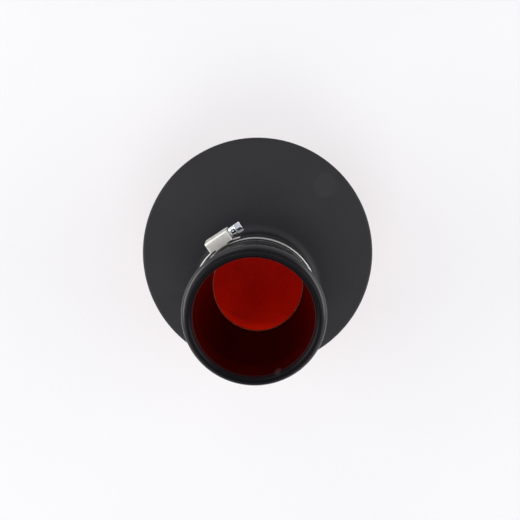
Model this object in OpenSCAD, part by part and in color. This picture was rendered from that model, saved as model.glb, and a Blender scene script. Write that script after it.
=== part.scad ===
// Pod air filter with an angled, off-centre rubber neck and a worm-drive hose clamp.
// The foam element stands on its closed end at z = 0, with the rubber base and its neck on top.
// All lengths are in millimetres and all angles in degrees.

/* [Foam element] */
// Height of the foam from the closed end to the glue under the base plate
foam_h = 120; // [100:1:180]
// Outer diameter of the foam where it meets the base plate
foam_top_d = 164; // [150:1:180]
// Outer diameter of the foam at the closed end
foam_end_d = 138; // [130:1:150]
// Thickness of the coarse outer foam layer
outer_layer_t = 9; // [7:0.5:10]
// Thickness of the fine inner foam layer
inner_layer_t = 7; // [5:0.5:8]
// Width of the glued butt seam that closes each rolled foam sheet
seam_w = 1.2; // [0.8:0.1:3]
// Thickness of the glue layers between foam and plate, and between the two end discs
glue_t = 0.6; // [0.4:0.1:1.5]

/* [Base plate] */
// How far the plate reaches past the foam all round
plate_rim = 0.5; // [0.5:0.1:6]
// Thickness of the plate
plate_t = 5; // [4:0.5:8]
// Radius of the rounded edge round the top of the plate
plate_edge_r = 1.5; // [0.5:0.1:2]

/* [Neck] */
// Gap between the throat stub and the foam's inner face, where the neck sits furthest out
stub_gap = 2.2; // [1:0.1:8]
// Tilt of the neck away from the plate's own axis
neck_tilt = 13; // [8:0.5:14]
// Length of the neck along its axis, from the plate's top face to the mouth
neck_len = 80; // [76:1:110]
// Wall of the neck where it leaves the plate
root_wall = 5.9; // [4:0.1:8]
// Wall of the neck just behind the bead
seat_wall = 3.7; // [3.2:0.1:5]
// Radius of the fillet where the neck grows out of the plate
root_fillet_r = 7.5; // [4:0.5:8]
// Bore diameter at the mouth, where the intake pipe goes in
bore_d = 80; // [70:0.5:84]
// Length of the straight bore behind the rounded mouth
bore_len = 21; // [12:1:30]
// Bore diameter where the air leaves the foam chamber
throat_d = 65.6; // [60:0.2:66]
// Depth of the throat stub below the plate's underside
stub_h = 9; // [6:0.5:12]
// Wall of the throat stub
stub_wall = 3; // [2:0.5:3]

/* [Mouth] */
// Wall of the nose in front of the bead, which is also the radius of the rounded mouth
nose_wall = 4.7; // [4:0.1:6]
// Height of the bead above the neck, which keeps the clamp on
bead_rise = 4.1; // [3.5:0.1:5]
// Radius of the bead's round section
bead_r = 3.9; // [3:0.1:4.5]
// Distance from the mouth back to the middle of the bead
bead_setback = 8.5; // [8:0.5:12]
// Number of shallow grip grooves round the neck
groove_count = 3; // [1:1:4]
// Width of each grip groove
groove_w = 1.4; // [0.8:0.1:2]
// Depth of each grip groove
groove_deep = 0.5; // [0.3:0.1:0.8]

/* [Hose clamp] */
// Width of the clamp band
band_w = 12; // [9:0.5:13]
// Thickness of the clamp band
band_t = 0.8; // [0.6:0.1:1]
// Height of the band's raised edges above its outer face
band_roll = 0.3; // [0.1:0.1:0.4]
// Width of each raised edge
band_roll_w = 0.8; // [0.5:0.1:1.2]
// Distance along the neck's axis from the plate to the rear edge of the band
band_back = 14; // [13:0.5:20]
// Direction of the screw housing round the neck, from the +X side towards the +Y side
clamp_angle = 123.5; // [0:0.5:360]
// Height of the free end above the fixed end where it passes through the housing
tail_rise = 1.9; // [1.7:0.1:3]
// Reach of the free end past the clamp's middle, under the screw's head
tail_reach = 14.7; // [12:0.1:18]
// Reach of the fixed end's tongue past the clamp's middle, on the other side
tongue_reach = 10.5; // [9:0.5:14]
// Spacing of the thread slots in the band
slot_pitch = 2.2; // [2:0.1:3]
// Number of thread slots in the band
slot_count = 16; // [6:1:20]
// Plain stretch between the tip of the free end and its first slot
tail_plain = 3.6; // [2:0.2:8]
// Length of each thread slot across the band
slot_len = 7.5; // [5:0.5:8]
// Width of each thread slot
slot_w = 1; // [0.6:0.1:1.2]
// Slant of each thread slot, which follows the worm's lead
slot_slant = 8; // [0:1:15]

/* [Screw housing] */
// Length of the housing along the screw
housing_len = 17.8; // [16:0.2:20]
// Distance of the housing from the clamp's middle, towards the screw's head
housing_shift = 0.5; // [0:0.1:1]
// Sheet thickness of the housing
housing_wall = 0.9; // [0.7:0.1:1.2]
// Radius of the long edges along the top of the housing
housing_edge_r = 3; // [1.5:0.1:3.4]
// Length of the saddle that closes the housing underneath
saddle_len = 9.6; // [7:0.2:12]

/* [Screw] */
// Diameter of the worm over its thread
worm_d = 5.2; // [4.8:0.1:5.6]
// Diameter of the worm's core between the threads
worm_core_d = 4; // [3.4:0.1:4.4]
// Pitch of the worm's threads
worm_pitch = 2.2; // [2:0.1:3]
// Diameter of the plain neck between the worm and the collar
screw_neck_d = 3.4; // [2.8:0.1:3.6]
// Diameter of the round collar behind the head
collar_d = 7; // [6.2:0.1:7.4]
// Length of the collar
collar_len = 4.2; // [1.5:0.1:5]
// Width of the hexagonal head across its flats
hex_af = 7; // [6:0.5:7]
// Length of the hexagonal head
hex_len = 5; // [3:0.1:8]
// Width of the screwdriver slot
driver_w = 1.2; // [0.8:0.1:1.6]
// Depth of the screwdriver slot
driver_deep = 2.2; // [1:0.1:3]

/* [Clearances] */
// Gap between the two foam layers, and between each end disc and its layer
foam_gap = 0.3; // [0.2:0.05:0.5]
// Running gap between the band and the neck
band_gap = 0.3; // [0.3:0.05:1]
// Running gap round the screw, and between the band and the housing
screw_gap = 0.3; // [0.3:0.05:0.4]
// Gap between the end of the housing and the screw's collar
collar_gap = 1; // [0.3:0.1:1.5]

/* [Hidden] */
$fn = 96;

// Colours of the materials
RUBBER = "#2f2d2e";
OUTER_FOAM = "#b01410";
INNER_FOAM = "#c8201a";
GLUE = "#5a1a14";
STEEL = "#a9a7a4";
PLATED = "#cdcbc4";
SCREW = "#d8dadb";

// A hair of overlap that makes cuts and joins clean
EPS = 0.01;
// How far a cut runs past the face it opens
CUT = 1;
// Longer than any cut has to reach
FAR = 300;

// Heights in the base
plate_z = foam_h + glue_t;
plate_top = plate_z + plate_t;
stub_bottom = plate_z - stub_h;

// Radii of the foam at the closed end and at the plate, outermost first
outer_layer_end_r = foam_end_d / 2;
outer_layer_top_r = foam_top_d / 2;
inner_layer_end_r = outer_layer_end_r - outer_layer_t - foam_gap;
inner_layer_top_r = outer_layer_top_r - outer_layer_t - foam_gap;
chamber_top_r = inner_layer_top_r - inner_layer_t;
plate_d = foam_top_d + 2 * plate_rim;

// Places along the neck's axis, counted from the plate's top face
nose_r = bore_d / 2 + nose_wall;
neck_seat_r = bore_d / 2 + seat_wall;
bead_mid_r = neck_seat_r + bead_rise - bead_r;
bore_top = neck_len - nose_wall;
bore_bottom = bore_top - bore_len;
throat_depth = (plate_t + stub_h) / cos(neck_tilt);
throat_slope = (bore_d - throat_d) / 2 / (bore_bottom + throat_depth);
neck_root_r = throat_r_at(0) + root_wall;
// How far the tilt lowers the neck's root on one side and lifts it on the other
tilt_drop = neck_root_r * tan(neck_tilt);
throat_low = throat_depth + tilt_drop + stub_h;
bead_z = neck_len - bead_setback;
band_front = band_back + band_w;
band_mid = band_back + band_w / 2;
// The grooves share out the stretch between the parked clamp and the bead
groove_step = (bead_z - bead_r - band_front) / (groove_count + 1);
// Radius from which the fillet springs, inside the neck's outer face on every side
fillet_in_r = neck_root_r * cos(neck_tilt);
// Where the stub's outer face meets the plate's underside, on the side to which the neck leans:
// its place along the neck's axis, and its distance from the middle of the neck's root
stub_root_r = throat_r_at(0) + stub_wall;
stub_root_z = (stub_root_r * sin(neck_tilt) - plate_t)
              / (cos(neck_tilt) - throat_slope * sin(neck_tilt));
stub_reach = (stub_root_r + throat_slope * stub_root_z) * cos(neck_tilt)
             + stub_root_z * sin(neck_tilt);
// Distance from the plate's centre to the neck's axis, in the plate's top face
neck_offset = chamber_top_r - stub_gap - stub_reach;

// Radii of the neck's outer face and of the air's way through it, at a place along its axis
function neck_r_at(z) = neck_root_r + (neck_seat_r - neck_root_r) * z / bead_z;
function throat_r_at(z) = throat_d / 2 + throat_slope * (z + throat_depth);

// The clamp, in the neck's own frame
band_in_r = neck_r_at(band_front) + band_gap;
band_out_r = band_in_r + band_t;
free_in_r = band_in_r + tail_rise;
free_out_r = free_in_r + band_t;
tail_angle = acos(tail_reach / free_in_r);
tongue_angle = 90 + asin(tongue_reach / band_in_r);
slot_step = 360 * slot_pitch / (2 * PI * free_in_r);
screw_r = free_out_r + screw_gap + worm_d / 2;
housing_w = band_w + 2 * (screw_gap + housing_wall);
housing_bottom = free_in_r - EPS;
housing_top = screw_r + worm_d / 2 + screw_gap + housing_wall;
saddle_bottom = band_out_r + EPS;
// The housing and the screw, along the screw's axis from the clamp's middle
housing_tip = housing_shift - housing_len / 2;
housing_end = housing_shift + housing_len / 2;
end_wall_in = housing_end - housing_wall;
worm_tip = housing_tip + housing_wall;
worm_end = end_wall_in - screw_gap;
collar_start = housing_end + collar_gap;
hex_start = collar_start + collar_len;
screw_end = hex_start + hex_len;

// Puts children into the neck's frame: z along the neck's axis, from the plate's top face
module on_neck()
    translate([0, -neck_offset, plate_top]) rotate([neck_tilt, 0, 0]) children();

// Puts children into the clamp's frame: y through the middle of the housing, x along the screw
module on_clamp()
    on_neck() rotate([0, 0, clamp_angle - 90]) children();

// ---- Rubber base: plate, neck and throat stub, moulded in one ----

module plate_profile() {
    inner = plate_d / 2 - plate_edge_r;
    square([inner, plate_t]);
    square([plate_d / 2, plate_t - plate_edge_r]);
    translate([inner, plate_t - plate_edge_r]) circle(r = plate_edge_r);
}

// The fillet round the neck's root, as an upright disc with a hollow round flank;
// its foot lies inside the plate
module root_fillet() {
    foot_r = fillet_in_r + root_fillet_r;
    foot = plate_t / 2;
    rotate_extrude()
        difference() {
            translate([0, -foot]) square([foot_r, root_fillet_r + foot]);
            translate([foot_r, root_fillet_r]) circle(r = root_fillet_r);
        }
}

module neck_profile() {
    difference() {
        polygon([[0, -throat_low], [neck_r_at(-throat_low), -throat_low],
                 [neck_seat_r, bead_z], [0, bead_z]]);
        for (i = [1 : groove_count])
            translate([neck_r_at(band_front + i * groove_step) - groove_deep,
                       band_front + i * groove_step - groove_w / 2])
                square([groove_deep + CUT, groove_w]);
    }
    translate([0, bead_z - EPS]) square([nose_r, neck_len - bead_z + EPS]);
    translate([bead_mid_r, bead_z]) circle(r = bead_r);
}

// Everything that the air path takes out of the base
module bore_profile() {
    polygon([[0, -throat_low], [throat_r_at(-throat_low), -throat_low],
             [bore_d / 2, bore_bottom], [bore_d / 2, bore_top + EPS], [0, bore_top + EPS]]);
    difference() {
        translate([0, bore_top]) square([nose_r, nose_wall + CUT]);
        translate([nose_r, bore_top]) circle(r = nose_wall);
    }
}

module stub_profile()
    polygon([[0, -throat_low], [throat_r_at(-throat_low) + stub_wall, -throat_low],
             [throat_r_at(tilt_drop) + stub_wall, tilt_drop], [0, tilt_drop]]);

// All the space between two heights
module slab(low, high)
    translate([-FAR / 2, -FAR / 2, low]) cube([FAR, FAR, high - low]);

module rubber_base() {
    color(RUBBER)
        difference() {
            union() {
                translate([0, 0, plate_z]) rotate_extrude() plate_profile();
                translate([0, -neck_offset, plate_top - EPS]) root_fillet();
                intersection() {
                    on_neck() rotate_extrude() neck_profile();
                    slab(plate_z + plate_t / 2, FAR);
                }
                intersection() {
                    on_neck() rotate_extrude() stub_profile();
                    slab(stub_bottom, plate_z + plate_t / 2);
                }
            }
            on_neck() rotate_extrude() bore_profile();
        }
}

// ---- Foam element: two bonded layers, each a rolled sleeve with a disc in its closed end ----

// A sleeve between two heights, as the wall of a cone; the radii are those of its outer face
// at the closed end and at the plate
module sleeve(end_r, top_r, wall, z_low) {
    slope = (top_r - end_r) / foam_h;
    rotate_extrude()
        polygon([[end_r + slope * z_low - wall, z_low], [end_r + slope * z_low, z_low],
                 [top_r, foam_h], [top_r - wall, foam_h]]);
}

// The slab that a seam takes out of a sleeve, on the -X side or the +X side
module seam_slab(side)
    translate([side * FAR / 4, 0, FAR / 2 - EPS]) cube([FAR / 2, seam_w, FAR], center = true);

// A disc that fills the closed end of a sleeve whose outer face has the given radii
module end_disc(end_r, top_r, wall, z_low, t) {
    slope = (top_r - end_r) / foam_h;
    inner = end_r - wall - foam_gap;
    rotate_extrude()
        polygon([[0, z_low], [inner + slope * z_low, z_low],
                 [inner + slope * (z_low + t), z_low + t], [0, z_low + t]]);
}

module foam_outer_sleeve() {
    color(OUTER_FOAM)
        difference() {
            sleeve(outer_layer_end_r, outer_layer_top_r, outer_layer_t, 0);
            seam_slab(-1);
        }
}

module foam_inner_sleeve() {
    color(INNER_FOAM)
        difference() {
            sleeve(inner_layer_end_r, inner_layer_top_r, inner_layer_t, outer_layer_t + glue_t);
            seam_slab(1);
        }
}

module foam_outer_end() {
    color(OUTER_FOAM)
        end_disc(outer_layer_end_r, outer_layer_top_r, outer_layer_t, 0, outer_layer_t);
}

module foam_inner_end() {
    color(INNER_FOAM)
        end_disc(inner_layer_end_r, inner_layer_top_r, inner_layer_t, outer_layer_t + glue_t,
                 inner_layer_t);
}

// The glue that holds the foam's open end to the plate
module plate_glue() {
    color(GLUE)
        translate([0, 0, foam_h])
            linear_extrude(glue_t)
                difference() {
                    circle(r = outer_layer_top_r - foam_gap);
                    circle(r = chamber_top_r + foam_gap);
                }
}

// The glue between the two end discs
module end_glue() {
    color(GLUE)
        translate([0, 0, outer_layer_t])
            cylinder(r = outer_layer_end_r - outer_layer_t - foam_gap, h = glue_t);
}

module outer_seam_glue() {
    color(GLUE)
        intersection() {
            sleeve(outer_layer_end_r, outer_layer_top_r, outer_layer_t, 0);
            seam_slab(-1);
        }
}

module inner_seam_glue() {
    color(GLUE)
        intersection() {
            sleeve(inner_layer_end_r, inner_layer_top_r, inner_layer_t, outer_layer_t + glue_t);
            seam_slab(1);
        }
}

// ---- Hose clamp ----

// Part of a ring from one angle to another, both counted from the +x side
module ring_part(r, t, from, to)
    intersection() {
        difference() {
            circle(r = r + t);
            circle(r = r);
        }
        polygon(concat([[0, 0]], [for (i = [0 : 4])
                                  let (a = from + (to - from) * i / 4) FAR * [cos(a), sin(a)]]));
    }

// The band seen along the neck's axis: the fixed end under the housing, the free end over it,
// and between them the half turn in which the band sinks from the one height to the other
module band_outline(t) {
    ring_part(band_in_r, t, -90, tongue_angle);
    ring_part(free_in_r, t, tail_angle, 90);
    translate([0, tail_rise / 2]) ring_part(band_in_r + tail_rise / 2, t, 90, 270);
}

// The cutters for the slots stop short of the fixed end under them
module thread_slots()
    for (i = [0 : slot_count - 1])
        rotate([0, 0, tail_angle + (i + tail_plain / slot_pitch) * slot_step])
            translate([free_in_r + band_t / 2, 0, band_mid])
                rotate([slot_slant, 0, 0])
                    cube([tail_rise, slot_w, slot_len], center = true);

module clamp_band() {
    color(STEEL)
        on_clamp()
            difference() {
                translate([0, 0, band_back]) {
                    linear_extrude(band_w) band_outline(band_t);
                    for (z = [0, band_w - band_roll_w])
                        translate([0, 0, z])
                            linear_extrude(band_roll_w) band_outline(band_t + band_roll);
                }
                thread_slots();
            }
}

// Section of the housing across the screw, before it is hollowed
module housing_section() {
    inner = housing_w / 2 - housing_edge_r;
    translate([housing_bottom, -housing_w / 2])
        square([housing_top - housing_edge_r - housing_bottom, housing_w]);
    translate([housing_bottom, -inner]) square([housing_top - housing_bottom, 2 * inner]);
    for (side = [-1, 1])
        translate([housing_top - housing_edge_r, side * inner]) circle(r = housing_edge_r);
}

// Turns a section in (y, z) into a bar along x, from x = a to x = b, about the band's middle
module along_screw(a, b)
    translate([a, 0, band_mid]) rotate([90, 0, 90]) linear_extrude(b - a) children();

module clamp_housing() {
    slot_half = band_w / 2 + screw_gap;
    color(PLATED)
        on_clamp()
            difference() {
                along_screw(housing_tip, housing_end) housing_section();
                // Way for the band under the worm
                along_screw(-housing_len, housing_len)
                    translate([housing_bottom - CUT, -slot_half])
                        square([free_out_r + band_roll + screw_gap - housing_bottom + CUT, 2 * slot_half]);
                // Bore for the worm, open at the tip
                along_screw(-housing_len, end_wall_in)
                    translate([screw_r, 0]) circle(d = worm_d + 2 * screw_gap);
                // Hole for the screw's plain neck
                along_screw(0, housing_len)
                    translate([screw_r, 0]) circle(d = screw_neck_d + 2 * screw_gap);
            }
}

// The saddle closes the housing under the band and carries the fixed end
module clamp_saddle() {
    color(PLATED)
        on_clamp()
            difference() {
                along_screw(housing_shift - saddle_len / 2, housing_shift + saddle_len / 2)
                    translate([saddle_bottom - CUT, -housing_w / 2])
                        square([housing_bottom - saddle_bottom + CUT - EPS, housing_w]);
                translate([0, 0, band_back - housing_w])
                    cylinder(r = band_out_r + band_roll + EPS, h = 3 * housing_w);
                translate([0, 0, band_back - screw_gap])
                    difference() {
                        cylinder(r = free_in_r + band_w, h = band_w + 2 * screw_gap);
                        translate([0, 0, -CUT]) cylinder(r = free_in_r - EPS, h = 3 * band_w);
                    }
            }
}

// The screw is a body of revolution with a hexagonal head
module clamp_screw() {
    color(SCREW)
        on_clamp()
            translate([0, screw_r, band_mid]) rotate([0, 90, 0])
                difference() {
                    union() {
                        translate([0, 0, worm_tip])
                            cylinder(d = worm_core_d, h = worm_end - worm_tip);
                        for (z = [worm_tip + worm_pitch / 4 : worm_pitch : worm_end - worm_pitch / 2])
                            translate([0, 0, z]) cylinder(d = worm_d, h = worm_pitch / 2);
                        translate([0, 0, worm_end - EPS])
                            cylinder(d = screw_neck_d, h = collar_start - worm_end + 2 * EPS);
                        translate([0, 0, collar_start]) cylinder(d = collar_d, h = collar_len);
                        translate([0, 0, hex_start - EPS])
                            cylinder(d = hex_af / cos(30), h = hex_len + EPS, $fn = 6);
                    }
                    translate([-collar_d, -driver_w / 2, screw_end - driver_deep])
                        cube([2 * collar_d, driver_w, driver_deep + CUT]);
                }
}

rubber_base();
foam_outer_sleeve();
foam_inner_sleeve();
foam_outer_end();
foam_inner_end();
plate_glue();
end_glue();
outer_seam_glue();
inner_seam_glue();
clamp_band();
clamp_saddle();
clamp_housing();
clamp_screw();
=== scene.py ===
import math

import bpy
import numpy as np
from mathutils import Matrix, Vector


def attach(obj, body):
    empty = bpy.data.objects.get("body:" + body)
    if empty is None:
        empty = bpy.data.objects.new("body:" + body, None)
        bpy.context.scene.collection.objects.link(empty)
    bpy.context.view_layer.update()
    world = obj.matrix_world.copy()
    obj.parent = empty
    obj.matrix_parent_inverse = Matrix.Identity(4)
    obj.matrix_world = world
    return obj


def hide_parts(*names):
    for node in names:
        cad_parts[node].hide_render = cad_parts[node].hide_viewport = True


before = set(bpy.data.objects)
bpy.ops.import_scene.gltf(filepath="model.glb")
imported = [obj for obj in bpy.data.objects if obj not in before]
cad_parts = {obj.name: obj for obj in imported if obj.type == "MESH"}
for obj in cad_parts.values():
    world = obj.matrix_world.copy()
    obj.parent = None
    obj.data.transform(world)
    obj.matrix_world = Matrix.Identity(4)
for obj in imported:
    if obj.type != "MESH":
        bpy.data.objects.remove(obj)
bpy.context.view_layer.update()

bl_info = {
    "name": "Pod air filter with hose clamp",
    "version": (1, 0, 0),
    "blender": (4, 5, 0),
    "location": "3D View > Sidebar > Air Filter",
    "description": "Builds the visible pieces of an oiled foam pod filter around its packed frame",
    "category": "Object",
}

MM = 0.001

# Sizes that the frame is built to, in millimetres; a name with _R is a radius, with _T a thickness
FOAM_H, FOAM_TOP_R, FOAM_END_R = 120.0, 82.0, 69.0
OUTER_T, INNER_T, FOAM_GAP, GLUE_T, SEAM_W = 9.0, 7.0, 0.3, 0.6, 1.2
PLATE_R, PLATE_T, PLATE_EDGE_R, PLATE_TOP = 82.47, 5.0, 1.5, 125.6
NECK_OFFSET, NECK_TILT, NECK_LEN = 25.9826, math.radians(13), 80.0
NECK_ROOT_R, NECK_SEAT_R = 40.2065, 43.7
FILLET_R, FILLET_IN_R = 7.5, 39.176
BEAD_Z, BEAD_MID_R, BEAD_R = 71.5, 43.9, 3.9
NOSE_R, NOSE_WALL = 44.7, 4.7
BORE_R, BORE_TOP, BORE_BOTTOM = 40.0, 75.3, 54.3
THROAT_R, THROAT_SLOPE, STUB_H, STUB_WALL = 34.3065, 0.104852, 9.0, 3.0
GROOVES = (36.4, 46.8, 57.2)
CLAMP_TURN = math.radians(33.5)
BAND_IN_R, BAND_T, BAND_MID, BAND_W = 41.7769, 0.8, 20.0, 12.0
TAIL_RISE, TAIL_ANGLE, TONGUE_ANGLE = 1.9, 70.33, 104.56
HOUSING_TIP, HOUSING_END, HOUSING_LOW, HOUSING_TOP = -8.4, 9.4, 43.68, 51.18
HOUSING_HALF_W, HOUSING_EDGE_R, HOUSING_WALL = 7.2, 1.3, 0.9
SADDLE_FROM, SADDLE_TO = -4.3, 5.3
SCREW_R, WORM_FROM, WORM_TO, WORM_R, CORE_R = 47.3769, -7.5, 8.2, 2.6, 2.0
STEM_R, COLLAR_R, COLLAR_FROM, HEX_FROM, HEX_TO, HEX_FLAT = 1.7, 3.5, 10.4, 14.6, 19.6, 3.5

# Sizes that follow from them; STUB_DOWN is how far the throat's stub ends under the plate's top face
FOAM_SLOPE = (FOAM_TOP_R - FOAM_END_R) / FOAM_H
INNER_END_R, INNER_TOP_R = (r - OUTER_T - FOAM_GAP for r in (FOAM_END_R, FOAM_TOP_R))
INNER_LOW = OUTER_T + GLUE_T
STUB_DOWN = PLATE_T + STUB_H
FREE_IN_R = BAND_IN_R + TAIL_RISE

# Sizes of what only the eye needs, in millimetres
RIB_MID, RIB_LEN, RIB_W = 31.0, 7.6, 1.0
SLOT_LEN, SLOT_W, SLOT_SLANT, SLOT_FROM_TIP = 7.5, 1.0, math.radians(8), 3.6
THREAD_PITCH, THREAD_CREST_R, DRIVER_SLOT_W, DRIVER_SLOT_DEEP = 2.2, 0.45, 1.2, 2.2
PALE_PATCH, PALE_PATCH_R = (48.7, 48.0, PLATE_TOP), 8.5
PALE_FLECK = (15.5, -37.1, 73.8)
SKIN_WAVER = 0.5

NECK_PLACE = (Matrix.Translation(Vector((0, -NECK_OFFSET, PLATE_TOP)) * MM)
              @ Matrix.Rotation(NECK_TILT, 4, "X"))
CLAMP_PLACE = NECK_PLACE @ Matrix.Rotation(CLAMP_TURN, 4, "Z")
# The screw's own frame: z along the screw towards its head, x out from the neck
SCREW_PLACE = (CLAMP_PLACE @ Matrix.Translation(Vector((0, SCREW_R, BAND_MID)) * MM)
               @ Matrix(((0, 0, 1, 0), (1, 0, 0, 0), (0, 1, 0, 0), (0, 0, 0, 1))))

# The view that the object is shown from, in metres
EYE, AIM, LENS, SENSOR = (0.024006, -0.006145, 0.913165), (0.002014, -0.00551, 0.1256), 76.074, 36.0


def linear(code):
    """An sRGB hex colour as linear RGBA."""
    parts = [int(code[i:i + 2], 16) / 255 for i in (1, 3, 5)]
    return tuple(c / 12.92 if c <= 0.04045 else ((c + 0.055) / 1.055) ** 2.4 for c in parts) + (1.0,)


def darker(colour, share):
    """A linear colour at a share of its brightness."""
    return tuple(c * share for c in colour[:3]) + (1.0,)


# ---- Nodes ----

BLACK, WHITE = linear("#000000"), linear("#ffffff")
COLOUR, TINT = {"data_type": "RGBA"}, {"data_type": "RGBA", "blend_type": "MULTIPLY"}
# Nearly all of a noise texture's values lie in this span
NOISE = {"From Min": 0.3, "From Max": 0.7}


def fill(tree, node, inputs):
    """Sets or links a node's inputs: those that a dict names, or those in use, in order, by a tuple.

    A node given as a value stands for its first output in use."""
    if isinstance(inputs, dict):
        pairs = [(node.inputs[key], value) for key, value in inputs.items()]
    else:
        pairs = zip([socket for socket in node.inputs if socket.enabled], inputs)
    for socket, value in pairs:
        if isinstance(value, bpy.types.Node):
            value = next(output for output in value.outputs if output.enabled)
        if isinstance(value, bpy.types.NodeSocket):
            tree.links.new(value, socket)
        else:
            socket.default_value = value


def add(tree, kind, inputs=(), stops=(), **settings):
    """Adds one node with its settings, its inputs and a colour ramp's stops."""
    node = tree.nodes.new(kind)
    for name, value in settings.items():
        setattr(node, name, value)
    fill(tree, node, inputs)
    for _ in stops[2:]:
        node.color_ramp.elements.new(1.0)
    for number, (place, colour) in enumerate(stops):
        element = node.color_ramp.elements[number]
        element.position, element.color = place, colour
    return node


def new_material(name, uv_map=None):
    """An empty node material, its nodes, its shader and its Object coordinates or its own UV map."""
    material = bpy.data.materials.new(name)
    material.use_nodes = True
    tree = material.node_tree
    tree.nodes.clear()
    shader = add(tree, "ShaderNodeBsdfPrincipled")
    add(tree, "ShaderNodeOutputMaterial", {"Surface": shader})
    if uv_map:
        return material, tree, shader, add(tree, "ShaderNodeUVMap", uv_map=uv_map)
    return material, tree, shader, add(tree, "ShaderNodeTexCoord").outputs["Object"]


def neck_coordinates(tree, place):
    """Object coordinates turned into the neck's own frame, whole and as X, Y and Z."""
    back = NECK_PLACE.inverted()
    own = add(tree, "ShaderNodeMapping", {"Vector": place, "Location": back.to_translation(),
                                          "Rotation": back.to_euler()})
    return own, add(tree, "ShaderNodeSeparateXYZ", (own,)).outputs


def from_axis(tree, place):
    """Distance of a place from the Z axis of its coordinates."""
    flat = add(tree, "ShaderNodeVectorMath", (place, (1, 1, 0)), operation="MULTIPLY")
    return add(tree, "ShaderNodeVectorMath", (flat,), operation="LENGTH")


def fine_grain(tree, place, per_metre, strength, distance):
    """A slight bump from grains of one size."""
    grain = add(tree, "ShaderNodeTexNoise", {"Vector": place, "Scale": per_metre, "Detail": 2.0})
    return add(tree, "ShaderNodeBump", {"Strength": strength, "Distance": distance, "Height": grain})


def new_tree(name, sizes):
    """A geometry tree with an input for each size, and the outputs of its Group Input."""
    tree = bpy.data.node_groups.new(name, "GeometryNodeTree")
    tree.interface.new_socket("Geometry", in_out="INPUT", socket_type="NodeSocketGeometry")
    for label, value in sizes.items():
        kind = "NodeSocketInt" if isinstance(value, int) else "NodeSocketFloat"
        tree.interface.new_socket(label, in_out="INPUT", socket_type=kind)
    tree.interface.new_socket("Geometry", in_out="OUTPUT", socket_type="NodeSocketGeometry")
    return tree, add(tree, "NodeGroupInput").outputs


def close_tree(tree, geometry, material):
    """Ends a tree with Realize Instances and Set Material."""
    real = add(tree, "GeometryNodeRealizeInstances", (geometry,))
    coated = add(tree, "GeometryNodeSetMaterial", {"Geometry": real, "Material": material})
    add(tree, "NodeGroupOutput", {"Geometry": coated})
    return tree


# ---- Meshes ----

def new_object(name, data):
    """Links a mesh, a light or a camera into the scene in place of any object of its name."""
    old = bpy.data.objects.get(name)
    if old is not None:
        bpy.data.objects.remove(old)
    obj = bpy.data.objects.new(name, data)
    bpy.context.scene.collection.objects.link(obj)
    return obj


def evaluated_mesh(obj):
    """What an object's modifiers make of it, as a plain mesh; the object itself goes."""
    graph = bpy.context.evaluated_depsgraph_get()
    mesh = bpy.data.meshes.new_from_object(obj.evaluated_get(graph))
    bpy.data.objects.remove(obj)
    return mesh


def grown(name, mesh, tree, sizes):
    """Runs a geometry tree on a mesh and returns the plain mesh that comes out."""
    obj = new_object(name + "_source", mesh)
    modifier = obj.modifiers.new(tree.name, "NODES")
    modifier.node_group = tree
    for item in tree.interface.items_tree:
        if item.in_out == "INPUT" and item.name in sizes:
            modifier[item.identifier] = sizes[item.name]
    return evaluated_mesh(obj)


def placed(points, place):
    """Points in millimetres in a frame of their own, as metres in the row frame."""
    flat = np.asarray(points, float).reshape(-1, 3) * MM
    m = np.array(place)
    return (flat @ m[:3, :3].T + m[:3, 3]).reshape(np.shape(points))


def full_turn(count):
    """Even angles round a circle."""
    return np.linspace(0, 2 * np.pi, count, endpoint=False)


def ring(radius, turn, height):
    """A point for each angle; the radius and the height are one number or one for each angle."""
    radius, height = np.broadcast_to(radius, turn.shape), np.broadcast_to(height, turn.shape)
    return np.stack([radius * np.cos(turn), radius * np.sin(turn), height], 1)


def between(first, last, shares):
    """Rings that lead evenly from one ring to another, at shares of the way."""
    return [first + (last - first) * t for t in shares]


def loft(name, rings, ends="caps", place=None):
    """A closed mesh through rings of equal length, in millimetres in the frame of its place.

    ends is "caps" for a flat cap at both ends, or "join" where the last ring meets the first."""
    rings = np.asarray(rings, float)
    count, size = rings.shape[:2]
    index = np.arange(count * size).reshape(count, size)
    if ends == "join":
        index = np.vstack([index, index[:1]])
    index = np.hstack([index, index[:, :1]])
    a, b = index[:-1, :-1].ravel(), index[:-1, 1:].ravel()
    c, d = index[1:, 1:].ravel(), index[1:, :-1].ravel()
    faces = np.stack([a, b, c, d], 1).tolist()
    if ends == "caps":
        faces.append(list(range(size))[::-1])
        faces.append(list(range((count - 1) * size, count * size)))
    mesh = bpy.data.meshes.new(name)
    points = placed(rings.reshape(-1, 3), place or Matrix.Identity(4))
    mesh.from_pydata(points.tolist(), [], faces)
    mesh.update()
    turn_outward(mesh)
    return mesh


def turn_outward(mesh):
    """Turns a closed mesh's faces outwards, by the sign of its volume."""
    mesh.calc_loop_triangles()
    co = np.array([v.co for v in mesh.vertices])
    p, q, r = (co[[t.vertices[i] for t in mesh.loop_triangles]] for i in range(3))
    if np.einsum("ij,ij->i", p, np.cross(q, r)).sum() < 0:
        mesh.flip_normals()


def joined(name, meshes):
    """Several meshes as one."""
    points, faces = [], []
    for mesh in meshes:
        start = len(points)
        points += [tuple(v.co) for v in mesh.vertices]
        faces += [[i + start for i in face.vertices] for face in mesh.polygons]
    whole = bpy.data.meshes.new(name)
    whole.from_pydata(points, [], faces)
    whole.update()
    return whole


def finished(name, mesh, material, body, nodes=(), angle=35):
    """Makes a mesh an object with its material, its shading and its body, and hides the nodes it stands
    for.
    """
    mesh.materials.clear()
    mesh.materials.append(material)
    mesh.polygons.foreach_set("use_smooth", [True] * len(mesh.polygons))
    mesh.set_sharp_from_angle(angle=math.radians(angle))
    obj = new_object(name, mesh)
    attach(obj, body)
    if nodes:
        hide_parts(*nodes)
    return obj


# ---- Settings ----

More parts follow.
